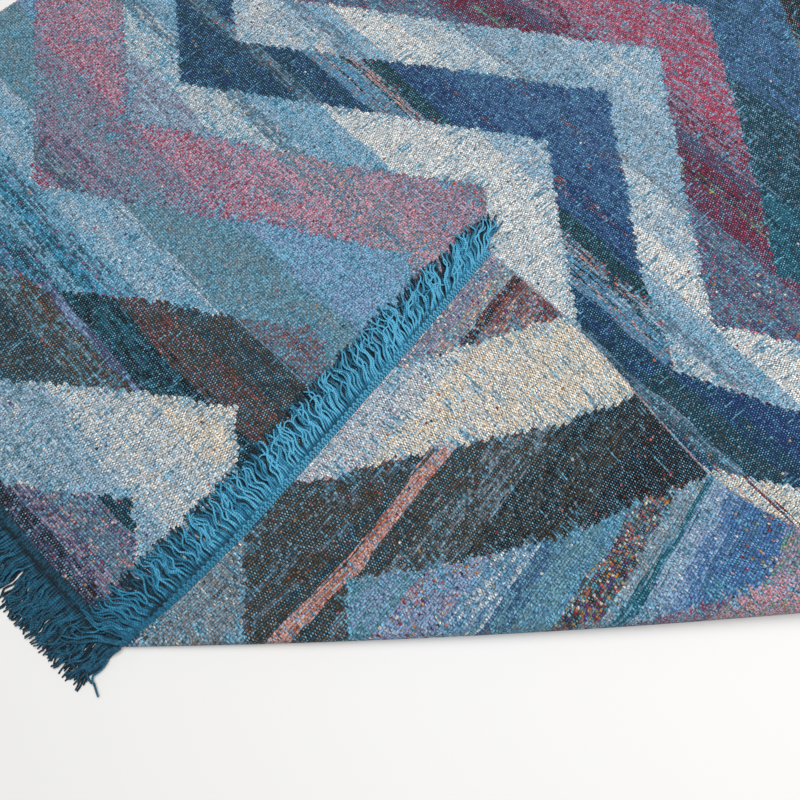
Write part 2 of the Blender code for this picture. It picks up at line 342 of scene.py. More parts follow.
# Lots woven in each block, from the v where each starts downward. A lot's row holds its start,
# its ground, second and slub yarns, the shares of the last two, and of odd bits where many show.
# The limbs are left of the peak, right of it, and past the valley where the yarns differ there.
CHART = {
    ("teal", "left"): (
        (0.4, "denim dark_teal grey", 0.4, 0.2), (0.02, "dark_teal grey_blue mid_blue", 0.3, 0.15),
        (-0.1, "dark_teal teal sky", 0.5, 0.2),
    ),
    ("maroon", "left"): (
        (0.3, "crimson mauve pink", 0.4, 0.4), (-0.065, "maroon mauve crimson", 0.45, 0.5),
        (-0.1, "slate maroon crimson", 0.5, 0.3), (-0.125, "maroon black crimson", 0.35, 0.3),
        (-0.15, "maroon green yellow", 0.35, 0.3), (-0.163, "maroon slate crimson", 0.3, 0.3),
        (-0.2, "slate grey_blue crimson", 0.5, 0.45, 0.05),
    ),
    ("ice", "left"): (
        (0.2, "pale_blue ice sky", 0.4, 0.3), (-0.12, "pale_blue grey sky", 0.35, 0.3),
        (-0.2, "pale_blue grey red_brown", 0.5, 0.4), (-0.214, "pale_blue ice sky", 0.6, 0.3),
        (-0.275, "ice white cream", 0.6, 0.3), (-0.325, "pale_blue sky ice", 0.4, 0.35),
        (-0.355, "grey_blue pale_blue crimson", 0.5, 0.25),
        (-0.375, "ice pale_blue rust", 0.5, 0.3),
    ),
    ("navy", "left"): (
        (0.1, "denim navy grey_blue", 0.4, 0.2), (-0.215, "denim red_brown navy", 0.3, 0.3),
        (-0.228, "denim navy mid_blue", 0.45, 0.3), (-0.295, "navy rust mid_blue", 0.25, 0.2),
        (-0.308, "navy denim dark_teal", 0.45, 0.4), (-0.338, "bottle dark_teal crimson", 0.5, 0.2),
        (-0.362, "dark_teal pale_blue orange_red", 0.45, 0.4),
        (-0.371, "salmon dark_teal orange_red", 0.45, 0.4),
        (-0.375, "dark_teal pale_blue ice", 0.45, 0.4),
        (-0.385, "mid_blue grey_blue salmon", 0.5, 0.4),
        (-0.398, "black salmon ice", 0.4, 0.3), (-0.403, "mid_blue grey_blue salmon", 0.5, 0.4),
        (-0.415, "dark_teal navy mid_blue", 0.5, 0.3),
        (-0.46, "grey_blue dark_teal rust", 0.5, 0.35),
        (-0.48, "dark_teal navy mid_blue", 0.5, 0.3),
    ),
    ("navy", "beyond"): (
        (0.1, "navy denim black", 0.2, 0.3), (-0.4, "navy dark_teal teal", 0.5, 0.2),
        (-0.42, "dark_teal olive grey_teal", 0.3, 0.3),
        (-0.46, "grey_blue dark_teal rust", 0.5, 0.35),
        (-0.48, "dark_teal navy mid_blue", 0.5, 0.3),
    ),
    ("white", "left"): (
        (0.0, "pale_blue ice sky", 0.5, 0.4), (-0.33, "ice white pale_blue", 0.5, 0.4),
        (-0.46, "pale_blue sky grey_blue", 0.5, 0.4), (-0.535, "grey_blue ice dark_teal", 0.4, 0.3),
        (-0.56, "sky ice crimson", 0.6, 0.2), (-0.61, "pale_blue mauve slate", 0.5, 0.4),
    ),
    ("white", "beyond"): (
        (0.0, "ice white grey_blue", 0.5, 0.3), (-0.43, "cream ice grey_blue", 0.4, 0.2),
        (-0.455, "maroon red_brown crimson", 0.4, 0.3), (-0.4595, "cream white pink", 0.4, 0.3),
        (-0.476, "maroon grey crimson", 0.4, 0.3), (-0.4805, "cream ice grey_blue", 0.4, 0.3),
        (-0.5, "grey red_brown rust", 0.5, 0.4), (-0.54, "white cream rust", 0.5, 0.3),
    ),
    ("pink", "left"): (
        (-0.3, "mauve grey_blue orange_red", 0.6, 0.65), (-0.42, "mauve pink rust", 0.45, 0.5),
        (-0.5, "pink grey_blue salmon", 0.55, 0.6), (-0.57, "pink grey_blue crimson", 0.42, 0.5),
        (-0.63, "pink mauve crimson", 0.5, 0.65), (-0.69, "mauve grey_blue crimson", 0.4, 0.55),
        (-0.725, "mauve grey_teal maroon", 0.4, 0.4), (-0.765, "mauve slate crimson", 0.45, 0.45),
        (-0.8, "grey slate maroon", 0.5, 0.4), (-0.832, "mauve crimson crimson", 0.4, 0.7),
    ),
    ("pink", "right"): (
        (-0.3, "mauve grey_blue orange_red", 0.6, 0.65), (-0.45, "grey mauve rust", 0.5, 0.5),
        (-0.55, "pink green salmon", 0.3, 0.5), (-0.66, "mauve slate crimson", 0.4, 0.5),
    ),
    ("blue", "left"): (
        (-0.5, "lilac_blue sky grey", 0.5, 0.3), (-0.6, "sky lilac_blue mid_blue", 0.55, 0.5),
        (-0.68, "grey_teal grey mid_blue", 0.4, 0.35), (-0.784, "pale_blue sky ice", 0.3, 0.5),
        (-0.791, "sky pale_blue white", 0.5, 0.3), (-0.822, "pale_blue sky ice", 0.45, 0.5),
        (-0.852, "sky dark_teal magenta", 0.4, 0.35),
        (-0.875, "turquoise dark_teal magenta", 0.5, 0.35),
        (-0.9, "sky dark_teal pale_blue", 0.45, 0.4),
        (-0.918, "dark_teal turquoise magenta", 0.5, 0.4),
        (-0.95, "mid_blue dark_teal magenta", 0.4, 0.3),
    ),
    ("blue", "right"): (
        (-0.4, "lilac_blue mid_blue yellow", 0.5, 0.3), (-0.61, "mauve green pink", 0.4, 0.5),
        (-0.64, "strong_blue denim pink", 0.3, 0.4, 0.15),
        (-0.668, "strong_blue denim sky", 0.4, 0.35, 0.02),
        (-0.69, "strong_blue lilac_blue ice", 0.5, 0.4),
        (-0.715, "lilac_blue pale_blue white", 0.6, 0.3), (-0.736, "teal sky dark_teal", 0.4, 0.4),
        (-0.748, "grey pale_blue cream", 0.4, 0.3), (-0.765, "olive grey cream", 0.4, 0.3, 0.5),
        (-0.782, "olive grey_teal orange_red", 0.4, 0.3, 0.5),
        (-0.8, "grey_teal mid_blue pale_blue", 0.4, 0.35),
        (-0.845, "denim grey_teal sky", 0.5, 0.4),
        (-0.865, "ice mid_blue denim", 0.6, 0.3), (-0.9, "lilac_blue mauve cream", 0.4, 0.35, 0.12),
        (-0.955, "grey_teal lilac_blue sky", 0.4, 0.3), (-1.0, "grey_teal pale_blue sky", 0.4, 0.2),
    ),
    ("brown", "left"): (
        (-0.6, "grey_blue rust rust", 0.35, 0.5), (-0.72, "grey_blue red_brown rust", 0.3, 0.55),
        (-0.775, "olive dark_teal red_brown", 0.4, 0.4), (-0.825, "olive red_brown rust", 0.4, 0.4),
        (-0.875, "black teal olive", 0.45, 0.4), (-0.925, "slate lilac_blue magenta", 0.4, 0.2),
        (-0.938, "olive grey_teal rust", 0.35, 0.4),
        (-0.985, "olive dark_teal grey_teal", 0.45, 0.4),
    ),
    ("brown", "right"): (
        (-0.5, "dark_brown black rust", 0.4, 0.3), (-0.84, "olive dark_brown grey", 0.5, 0.2),
        (-0.875, "olive black grey", 0.5, 0.3), (-0.93, "olive grey red_brown", 0.4, 0.35),
        (-0.99, "olive dark_teal rust", 0.3, 0.35), (-1.016, "salmon rust orange_red", 0.35, 0.3),
        (-1.034, "olive dark_teal rust", 0.4, 0.4), (-1.05, "olive grey_blue rust", 0.25, 0.3),
    ),
    ("cream", "left"): (
        (-0.8, "ice cream white", 0.6, 0.4), (-0.93, "ice pale_blue cream", 0.4, 0.5),
        (-1.02, "pale_blue grey_teal cream", 0.35, 0.35),
    ),
    ("cream", "right"): (
        (-0.8, "cream white ice", 0.3, 0.3), (-1.0, "ice cream pink", 0.4, 0.25),
        # The grey and olive lot, which runs on the flap beside the fold, is darker partly for its
        # own wools and partly as painted shade of the flap's roll over the fold
        (-1.04, "grey olive cream", 0.2, 0.35),
    ),
    ("cream", "beyond"): (
        (-0.8, "cream white ice", 0.3, 0.3), (-1.0, "cream ice pink", 0.45, 0.25),
        (-1.04, "cream ice salmon", 0.4, 0.3), (-1.09, "ice pale_blue pink", 0.4, 0.45),
    ),
    ("plum", "left"): (
        (-1.0, "dark_teal bottle rust", 0.4, 0.3), (-1.052, "slate grey_blue pink", 0.5, 0.5, 0.03),
        (-1.075, "grey_blue salmon slate", 0.3, 0.6, 0.03),
        (-1.1, "slate mauve salmon", 0.45, 0.4, 0.03),
        (-1.125, "dark_brown slate mauve", 0.5, 0.4, 0.04),
    ),
    ("plum", "right"): (
        (-1.0, "red_brown salmon rust", 0.3, 0.5, 0.1),
        (-1.045, "salmon red_brown grey", 0.65, 0.5, 0.08),
        (-1.085, "dark_brown red_brown salmon", 0.5, 0.4, 0.1),
        (-1.1, "grey salmon cream", 0.3, 0.5, 0.03),
        (-1.12, "mauve grey_blue cream", 0.4, 0.5, 0.03),
    ),
    ("far_brown", "left"): (
        (0.5, "olive grey_blue rust", 0.5, 0.4), (0.3, "dark_brown black rust", 0.4, 0.4),
        (0.15, "grey_teal olive rust", 0.4, 0.4),
    ),
    ("far_cream", "left"): (
        (0.6, "cream white ice", 0.4, 0.3), (0.4, "ice pale_blue cream", 0.4, 0.4),
        (0.25, "cream ice salmon", 0.4, 0.3),
    ),
    ("far_blue", "left"): (
        (0.8, "mid_blue lilac_blue sky", 0.5, 0.3), (0.6, "strong_blue denim sky", 0.4, 0.3),
        (0.5, "pale_blue sky ice", 0.5, 0.3), (0.4, "grey_teal mid_blue magenta", 0.5, 0.3),
    ),
    ("far_pink", "left"): (
        (0.9, "pink mauve crimson", 0.5, 0.5), (0.7, "mauve grey_blue orange_red", 0.5, 0.5),
        (0.55, "pink grey_blue salmon", 0.5, 0.5),
    ),
    ("far_white", "left"): (
        (1.1, "ice white pale_blue", 0.5, 0.4), (0.85, "pale_blue ice sky", 0.5, 0.4),
        (0.7, "sky ice grey_blue", 0.5, 0.4),
    ),
    ("far_navy", "left"): (
        (1.2, "denim navy mid_blue", 0.4, 0.3), (1.0, "navy denim dark_teal", 0.4, 0.4),
        (0.85, "dark_teal bottle crimson", 0.4, 0.2),
    ),
    ("far_ice", "left"): (
        (1.3, "pale_blue ice sky", 0.5, 0.3), (1.05, "ice cream pink", 0.4, 0.3),
    ),
    ("far_maroon", "left"): (
        (1.4, "maroon slate crimson", 0.4, 0.4), (1.1, "crimson mauve pink", 0.5, 0.4),
    ),
    ("far_teal", "left"): (
        (1.6, "dark_teal grey_blue sky", 0.5, 0.3),
    ),
}
# Where the limbs part along u, and how far down v a block's list of lots can reach
SPLIT_U = 0.12
VALLEY_U = 0.345
CHART_DEPTH = 0.7
# A warp each 1.75 mm and a weft each 3.5 mm, and how far each strays, in long and short waves
WARP_PITCH = 0.00175
WEFT_PITCH = 0.0035
WARP_STRAYS = (0.006, 0.0014)
WEFT_STRAYS = (0.009, 0.0022)
# A block's edge: the rows of weft in a step, the share of it that steps, how far the rows' ends
# differ, and how round they are
STEP_ROWS = 2
STEPPED = 0.85
RAGGED = 0.008
ROUNDED = 0.016
# Patterns to the metre: long waves 110 mm and short ones 4 mm, patches 26 mm, the loom's beat
# 29 mm, pits of painted shade 2.3 mm, and tufts of fibre 0.7 mm, as single fibres are too fine to
# show
LONG_WAVES = 9.0
SHORT_WAVES = 260.0
PATCHES = 38.0
BEATS = 34.0
PITS = 430.0
TUFTS = 1400.0
# Streaks of yarn, as patterns to the metre along a weft and to the row across it: where a lot
# gives out, dashes of 50 mm, tweed of 7 mm and slubs of 5 mm. Runs of combed warp are 40 mm.
LONG_STREAK = (3.0, 0.6, 1.0)
DASH = (19.0, 1.37, 1.0)
TWEED = (150.0, 0.97, 1.0)
SLUB = (210.0, 0.91, 1.0)
COMBED = (0.71, 24.0, 1.0)
# How far a lot's start is streaked, by long streaks and by dashes
LOT_STRAYS = (0.04, 0.018)
# How the second yarn's place mixes dashes with tweed, and these with patches
TWEED_SHARE = 0.42
PATCH_SHARE = 0.2
# Noise over which a second yarn or a slub shows, for a share of none and for one of all
SECOND_OVER = (0.63, 0.37)
SLUB_OVER = (0.78, 0.44)
# How near its block's edge a weft's slubs bunch up, and how much; the same for combed warp,
# which shows more where the beat is loose and less in the darkest wools
BUNCHED = (0.0045, 0.14)
COMBED_BY_EDGE = (0.034, 0.08)
COMBED_BY_BEAT = 0.6
COMBED_HIDDEN = -0.6
# Where the selvedge's bundle of warps starts and is full
SELVEDGE = (0.7955, 0.7972)
# The brightness under which wools hide more of the warp, and how much more the darkest hide
HIDING = (0.22, 0.2)
DOTS_UNEVEN = 0.34
# Height of the threads' relief, and the fibres' share in it
RELIEF = 0.0011
FIBRES = 0.35
# Odd bits of other wools spun into the yarn, their share where a lot names none, and the size
# of a bit in warps
FLECKS = ("#8e2a3a", "#b98435", "#b5543a", "#4f2f70", "#cfc4b4", "#2b6f7a", "#2b2026", "#8a6a3a")
STRAY = 0.004
FLECK_WARPS = 2


def weave_material():
    """Plain weave of handspun wools: matt, thready, with the turquoise warp showing as dots."""
    made = bpy.data.materials.new("plain_woven_wool")
    made.use_nodes = True
    tree = made.node_tree
    shader = tree.nodes["Principled BSDF"]
    loom = node(tree, "ShaderNodeUVMap", uv_map="loom")
    place = node(tree, "ShaderNodeSeparateXYZ", loom)
    u, v = place.outputs[0], place.outputs[1]

    # Yarns never lie quite straight: the weft wanders by rows, the warp by threads
    wide = node(tree, "ShaderNodeTexNoise", {"Vector": loom, "Scale": LONG_WAVES, "Detail": 1.0})
    fine = node(tree, "ShaderNodeTexNoise", {"Vector": loom, "Scale": SHORT_WAVES, "Detail": 1.0})
    wide_parts = node(tree, "ShaderNodeSeparateColor", wide.outputs["Color"])
    fine_parts = node(tree, "ShaderNodeSeparateColor", fine.outputs["Color"])
    threads = []
    for coordinate, channel, strays, pitch in (
        (u, 0, WARP_STRAYS, WARP_PITCH),
        (v, 1, WEFT_STRAYS, WEFT_PITCH),
    ):
        for parts, stray in zip((wide_parts, fine_parts), strays):
            coordinate = node(
                tree, "ShaderNodeMath", parts.outputs[channel], stray, coordinate,
                operation="MULTIPLY_ADD",
            )
        count = node(tree, "ShaderNodeMath", coordinate, 1 / pitch, operation="MULTIPLY")
        whole = node(tree, "ShaderNodeMath", count, operation="FLOOR")
        part = node(tree, "ShaderNodeMath", count, operation="FRACT")
        threads.append((coordinate, whole, part))
    (_, warp_whole, warp_part), (weft_v, weft_whole, weft_part) = threads

    # The edge of a block steps sideways every two rows of weft, which makes its small teeth
    tooth = WEFT_PITCH * STEP_ROWS
    rows = node(tree, "ShaderNodeMath", weft_v, tooth, operation="SNAP")
    ragged = node(tree, "ShaderNodeTexWhiteNoise", {"W": rows}, noise_dimensions="1D")
    row_share = node(tree, "ShaderNodeMath", weft_v, 1 / tooth, operation="MULTIPLY")
    row_share = node(tree, "ShaderNodeMath", row_share, operation="FRACT")
    off_middle = node(tree, "ShaderNodeMath", row_share, 0.5, operation="SUBTRACT")
    off_middle = node(tree, "ShaderNodeMath", off_middle, 2.0, operation="POWER")
    stepped = rows
    for bend, reach in ((off_middle, ROUNDED), (ragged, RAGGED)):
        stepped = node(tree, "ShaderNodeMath", bend, reach, stepped, operation="MULTIPLY_ADD")
    stepped = node(tree, "ShaderNodeMath", stepped, STEPPED, operation="MULTIPLY")
    edge_v = node(tree, "ShaderNodeMath", v, 1 - STEPPED, stepped, operation="MULTIPLY_ADD")

    # A lot of yarn gives out in the middle of a row, so the change from lot to lot is streaky
    row_place = node(tree, "ShaderNodeCombineXYZ", u, weft_whole)

    def streaks(stretch, detail=2.0, yarns=row_place):
        """Noise drawn out along the yarns."""
        place = node(tree, "ShaderNodeVectorMath", yarns, stretch, operation="MULTIPLY")
        noise = node(tree, "ShaderNodeTexNoise", {"Vector": place, "Scale": 1.0, "Detail": detail})
        return noise.outputs["Fac"]

    long_streak = streaks(LONG_STREAK)
    dash = streaks(DASH)
    tweed = streaks(TWEED)
    patches = node(tree, "ShaderNodeTexNoise", {"Vector": loom, "Scale": PATCHES, "Detail": 3.0})
    lot_v = weft_v
    for streak, stray in zip((long_streak, dash), LOT_STRAYS):
        lot_v = node(tree, "ShaderNodeMath", streak, stray, lot_v, operation="MULTIPLY_ADD")
    lot_v = node(tree, "ShaderNodeMath", lot_v, sum(LOT_STRAYS) / 2, operation="SUBTRACT")

    # Each block's lots are a ramp that codes the yarns: red the ground, green the second yarn
    # and its share, blue the slubs and their share
    past_peak = node(tree, "ShaderNodeMath", u, SPLIT_U, operation="GREATER_THAN")
    past_valley = node(tree, "ShaderNodeMath", u, VALLEY_U, operation="GREATER_THAN")
    width_share = node(
        tree, "ShaderNodeMapRange", {"Value": u, "From Min": -WIDTH / 2, "From Max": WIDTH / 2}
    )

    def lots_of(block, limb):
        """Coded lots of a block's limb at this row."""
        table = CHART[block, limb]
        top = table[0][0]
        share = node(
            tree, "ShaderNodeMapRange",
            {"Value": lot_v, "From Min": top, "From Max": top - CHART_DEPTH},
        )
        stops = []
        for start, yarns, *shares in table:
            ground, second, slub = [LOTS.index(yarn) for yarn in yarns.split()]
            bits = shares[2] if shares[2:] else STRAY
            codes = (ground + bits, second + shares[0], slub + shares[1])
            colour = [code / len(LOTS) for code in codes] + [1.0]
            stops.append(((top - start) / CHART_DEPTH, colour))
        ramp = node(tree, "ShaderNodeValToRGB", share)
        set_stops(ramp, stops)
        return ramp

    def edge_at(points):
        """Loom v of a block's upper edge at this u."""
        low = min(v for _, v in points)
        high = max(v for _, v in points)
        curve = node(tree, "ShaderNodeFloatCurve", {"Value": width_share})
        line = curve.mapping.curves[0]
        places = [((u + WIDTH / 2) / WIDTH, (v - low) / (high - low)) for u, v in points]
        line.points[0].location = places[0]
        line.points[1].location = places[-1]
        for place in places[1:-1]:
            line.points.new(*place)
        for point in line.points:
            point.handle_type = "VECTOR"
        curve.mapping.update()
        return node(tree, "ShaderNodeMapRange", {"Value": curve, "To Min": low, "To Max": high})

    # Blocks are laid over one another from the far end on, and the nearest edge is kept
    zigzag = edge_at(EDGES["maroon"])
    coded = lots_of("far_teal", "left")
    edges = []
    for block, rise in reversed(FAR_BLOCKS):
        far_edge = node(tree, "ShaderNodeMath", zigzag, rise, operation="ADD")
        edges.append((block, far_edge))
    for block, points in EDGES.items():
        edges.append((block, edge_at(points)))
    edge_gap = None
    for block, edge in edges:
        lots = lots_of(block, "left")
        for limb, turn in (("right", past_peak), ("beyond", past_valley)):
            if (block, limb) in CHART:
                there = lots_of(block, limb)
                lots = node(tree, "ShaderNodeMix", {0: turn, 6: lots, 7: there}, data_type="RGBA")
        over = node(tree, "ShaderNodeMath", edge_v, edge, operation="SUBTRACT")
        below = node(tree, "ShaderNodeMath", over, 0.0, operation="LESS_THAN")
        apart = node(tree, "ShaderNodeMath", over, operation="ABSOLUTE")
        if edge_gap:
            apart = node(tree, "ShaderNodeMath", edge_gap, apart, operation="MINIMUM")
        edge_gap = apart
        coded = node(tree, "ShaderNodeMix", {0: below, 6: coded, 7: lots}, data_type="RGBA")

    # The coded yarns are looked up among the dyed wools
    codes = node(tree, "ShaderNodeSeparateColor", coded)
    dyed = [(index / len(LOTS), linear(WOOL[lot])) for index, lot in enumerate(LOTS)]
    yarns = []
    for code in codes.outputs:
        number = node(tree, "ShaderNodeMath", code, float(len(LOTS)), operation="MULTIPLY")
        whole = node(tree, "ShaderNodeMath", number, operation="FLOOR")
        share = node(tree, "ShaderNodeMath", number, operation="FRACT")
        middle = node(tree, "ShaderNodeMath", whole, 0.5, operation="ADD")
        looked_up = node(tree, "ShaderNodeMath", middle, 1 / len(LOTS), operation="MULTIPLY")
        wools = node(tree, "ShaderNodeValToRGB", looked_up)
        set_stops(wools, dyed)
        yarns.append((wools, share))
    (ground, bit_share), (second, second_share), (slub, slub_share) = yarns

    def over_edge(value, edge, low, high, most=1.0):
        """A mask that goes from 0 to most as a value passes its edge."""
        over = node(tree, "ShaderNodeMath", value, edge, operation="SUBTRACT")
        return node(
            tree, "ShaderNodeMapRange",
            {"Value": over, "From Min": low, "From Max": high, "To Max": most},
        )

    # The second yarn comes in dashes along the row and in patches, the slubs in thick places
    second_edge = node(
        tree, "ShaderNodeMapRange",
        {"Value": second_share, "To Min": SECOND_OVER[0], "To Max": SECOND_OVER[1]},
    )
    dashes = node(tree, "ShaderNodeMix", {0: TWEED_SHARE, 2: dash, 3: tweed}, data_type="FLOAT")
    dashes = node(
        tree, "ShaderNodeMix",
        {0: PATCH_SHARE, 2: dashes, 3: patches.outputs["Fac"]}, data_type="FLOAT",
    )
    second_mask = over_edge(dashes, second_edge, -0.035, 0.035, 0.9)
    weft = node(tree, "ShaderNodeMix", {0: second_mask, 6: ground, 7: second}, data_type="RGBA")
    slub_edge = node(
        tree, "ShaderNodeMapRange",
        {"Value": slub_share, "To Min": SLUB_OVER[0], "To Max": SLUB_OVER[1]},
    )
    # Where a weft turns back at its block's edge, its slubs bunch up like beads
    bunched = node(
        tree, "ShaderNodeMapRange",
        {"Value": edge_gap, "From Max": BUNCHED[0], "To Min": BUNCHED[1], "To Max": 0.0},
    )
    slub_edge = node(tree, "ShaderNodeMath", slub_edge, bunched, operation="SUBTRACT")
    slub_mask = over_edge(streaks(SLUB, 1.0), slub_edge, -0.04, 0.06)
    weft = node(tree, "ShaderNodeMix", {0: slub_mask, 6: weft, 7: slub}, data_type="RGBA")
    bit_u = node(tree, "ShaderNodeMath", warp_whole, float(FLECK_WARPS), operation="SNAP")
    bit_place = node(tree, "ShaderNodeCombineXYZ", bit_u, weft_whole)
    bits = node(tree, "ShaderNodeTexWhiteNoise", {"Vector": bit_place}, noise_dimensions="2D")
    bit_wool = node(tree, "ShaderNodeValToRGB", bits.outputs["Value"])
    set_stops(bit_wool, [(index / len(FLECKS), linear(wool)) for index, wool in enumerate(FLECKS)])
    bit_parts = node(tree, "ShaderNodeSeparateColor", bits.outputs["Color"])
    bit_mask = node(tree, "ShaderNodeMath", bit_parts.outputs[1], bit_share, operation="LESS_THAN")
    weft = node(tree, "ShaderNodeMix", {0: bit_mask, 6: weft, 7: bit_wool}, data_type="RGBA")

    # The last warps of each side are bundled in a paler selvedge with bits of red
    from_middle = node(tree, "ShaderNodeMath", u, operation="ABSOLUTE")
    selvedge = node(
        tree, "ShaderNodeMapRange",
        {"Value": from_middle, "From Min": SELVEDGE[0], "From Max": SELVEDGE[1], "To Max": 0.75},
    )
    bundle = node(tree, "ShaderNodeValToRGB", tweed)
    bundle_wools = ((0.4, "#8f9fae"), (0.5, "#d6c6c0"), (0.62, "#b0574f"))
    set_stops(bundle, [(at, linear(wool)) for at, wool in bundle_wools], "LINEAR")
    weft = node(tree, "ShaderNodeMix", {0: selvedge, 6: weft, 7: bundle}, data_type="RGBA")

    # Plain weave: each weft passes over one warp and under the next
    both = node(tree, "ShaderNodeMath", warp_whole, weft_whole, operation="ADD")
    half = node(tree, "ShaderNodeMath", both, 0.5, operation="MULTIPLY")
    parity = node(tree, "ShaderNodeMath", half, operation="FRACT")
    warp_over = node(tree, "ShaderNodeMath", parity, 0.25, operation="GREATER_THAN")
    swells = []
    for part in (warp_part, weft_part):
        turn = node(tree, "ShaderNodeMath", part, math.pi, operation="MULTIPLY")
        swells.append(node(tree, "ShaderNodeMath", turn, operation="SINE"))
    warp_round, weft_round = swells
    # How much of a crossing the warp covers changes over the cloth with the beat of the loom
    beat = node(tree, "ShaderNodeTexNoise", {"Vector": loom, "Scale": BEATS, "Detail": 2.0})
    beat_edge = node(
        tree, "ShaderNodeMapRange",
        {"Value": beat.outputs["Fac"],
         "From Min": 0.3, "From Max": 0.7, "To Min": 0.2, "To Max": 0.7},
    )
    # The darker lots were spun thicker and hide more of the warp
    lightness = node(tree, "ShaderNodeRGBToBW", weft)
    hidden = node(
        tree, "ShaderNodeMapRange",
        {"Value": lightness, "From Max": HIDING[0], "To Min": HIDING[1], "To Max": 0.0},
    )
    beat_edge = node(tree, "ShaderNodeMath", beat_edge, hidden, operation="ADD")
    thread_place = node(tree, "ShaderNodeCombineXYZ", warp_whole, weft_whole)
    heather = node(tree, "ShaderNodeTexWhiteNoise", {"Vector": thread_place}, noise_dimensions="2D")
    heather_parts = node(tree, "ShaderNodeSeparateColor", heather.outputs["Color"])
    dot = node(tree, "ShaderNodeMath", warp_round, weft_round, operation="MULTIPLY")
    uneven_dot = node(
        tree, "ShaderNodeMath", heather_parts.outputs[1], DOTS_UNEVEN, dot, operation="MULTIPLY_ADD"
    )
    uneven_dot = node(tree, "ShaderNodeMath", uneven_dot, DOTS_UNEVEN / 2, operation="SUBTRACT")
    dot_mask = over_edge(uneven_dot, beat_edge, -0.12, 0.12)
    dot_mask = node(tree, "ShaderNodeMath", dot_mask, warp_over, operation="MULTIPLY")
    # Here and there a run of warp stands proud of the weft, which looks combed
    warp_place = node(tree, "ShaderNodeCombineXYZ", warp_whole, v)
    combed = node(
        tree, "ShaderNodeMath",
        beat.outputs["Fac"], COMBED_BY_BEAT, streaks(COMBED, 1.0, warp_place),
        operation="MULTIPLY_ADD",
    )
    by_edge = node(
        tree, "ShaderNodeMapRange",
        {"Value": edge_gap,
         "From Max": COMBED_BY_EDGE[0], "To Min": COMBED_BY_EDGE[1], "To Max": 0.0},
    )
    combed = node(tree, "ShaderNodeMath", combed, by_edge, operation="ADD")
    combed = node(tree, "ShaderNodeMath", hidden, COMBED_HIDDEN, combed, operation="MULTIPLY_ADD")
    combed_mask = node(
        tree, "ShaderNodeMapRange",
        {"Value": combed, "From Min": 0.88, "From Max": 0.96, "To Max": 0.85},
    )
    warp_mask = node(tree, "ShaderNodeMath", dot_mask, combed_mask, operation="MAXIMUM")
    warp_wool = node(
        tree, "ShaderNodeMix",
        {0: heather.outputs["Value"], 6: linear("#2e6f90"), 7: linear("#70adc8")}, data_type="RGBA",
    )
    yarn = node(tree, "ShaderNodeMix", {0: warp_mask, 6: weft, 7: warp_wool}, data_type="RGBA")

    # Handspun yarn is lighter and darker from place to place, and painted shade darkens it where
    # threads dip and in small pits
    heathering = node(
        tree, "ShaderNodeMapRange",
        {"Value": heather.outputs["Value"], "To Min": 0.66, "To Max": 1.36},
    )
    dip_shade = node(tree, "ShaderNodeMapRange", {"Value": weft_round, "To Min": 0.55, "To Max": 1.08})
    pits = node(tree, "ShaderNodeTexNoise", {"Vector": loom, "Scale": PITS, "Detail": 1.0})
    pit_shade = node(
        tree, "ShaderNodeMapRange",
        {"Value": pits.outputs["Fac"],
         "From Min": 0.34, "From Max": 0.52, "To Min": 0.34, "To Max": 1.12},
    )
    heather_and_shade = node(tree, "ShaderNodeMath", heathering, dip_shade, operation="MULTIPLY")
    heather_and_shade = node(tree, "ShaderNodeMath", heather_and_shade, pit_shade, operation="MULTIPLY")
    shaded = node(tree, "ShaderNodeVectorMath", {0: yarn, "Scale": heather_and_shade}, operation="SCALE")
    tree.links.new(shaded.outputs[0], shader.inputs["Base Color"])

    # Relief of the threads, and the fibres on them
    over_weft = node(
        tree, "ShaderNodeMapRange", {"Value": warp_round, "To Min": 0.55, "To Max": 1.0}
    )
    over_weft = node(tree, "ShaderNodeMath", over_weft, weft_round, operation="MULTIPLY")
    height = node(tree, "ShaderNodeMix", {0: warp_over, 2: over_weft, 3: dot}, data_type="FLOAT")
    fibres = node(tree, "ShaderNodeTexNoise", {"Vector": loom, "Scale": TUFTS, "Detail": 1.0})
    raised = node(
        tree, "ShaderNodeMath", fibres.outputs["Fac"], FIBRES, height, operation="MULTIPLY_ADD"
    )
    relief = node(tree, "ShaderNodeBump", {"Height": raised, "Strength": 0.8, "Distance": RELIEF})
    tree.links.new(relief.outputs[0], shader.inputs["Normal"])
    # Wool is matt all over, a little less so where the fibres lie flat
    matt = node(
        tree, "ShaderNodeMapRange",
        {"Value": fibres.outputs["Fac"],
         "From Min": 0.3, "From Max": 0.7, "To Min": 0.86, "To Max": 0.97},
    )
    tree.links.new(matt.outputs[0], shader.inputs["Roughness"])
    shader.inputs["Specular IOR Level"].default_value = 0.15
    shader.inputs["Sheen Weight"].default_value = 0.05
    shader.inputs["Sheen Roughness"].default_value = 0.6
    return made


cloth.data.materials.append(weave_material())
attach(cloth, "root")
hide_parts("rug_field")

# The fringes: at each end the warps are twined into a narrow heading and knotted, and six to
# nine ends of turquoise wool hang from each knot. On the turned corner they lie on the rug.
# A strand starts inside its knot; the heading has three rows of slanted stitches over four cords.
HEADING = 0.009
HEADING_THICK = 0.0034
FRINGE = 0.065
LOCK_LIFT = 0.0043
KNOT_PITCH = 0.0078
KNOT_SIZE = (0.0030, 0.0017, 0.0019)
KNOT_REACH = 0.0088
STITCH_PITCH = 0.0045
STITCH_SIZE = (0.0027, 0.0013, 0.0015)
STITCH_ROWS = ((0.0019, 1), (0.0043, -1), (0.0067, 1))
STITCH_SLANT = math.radians(38)
BEAD_CUTS = (7, 4)
BEAD_RUN = 0.002
CORD = 0.0030
CORD_REACHES = (0.0006, 0.0030, 0.0054, 0.0078)
CORD_STEPS = 160
# A strand's thickness, how much its tip tapers, and the layers that the strands of a knot make
STRAND = 0.0031
TAPER = 0.3
LAYER = 0.0021
LAYER_UNEVEN = (0.85, 1.15)
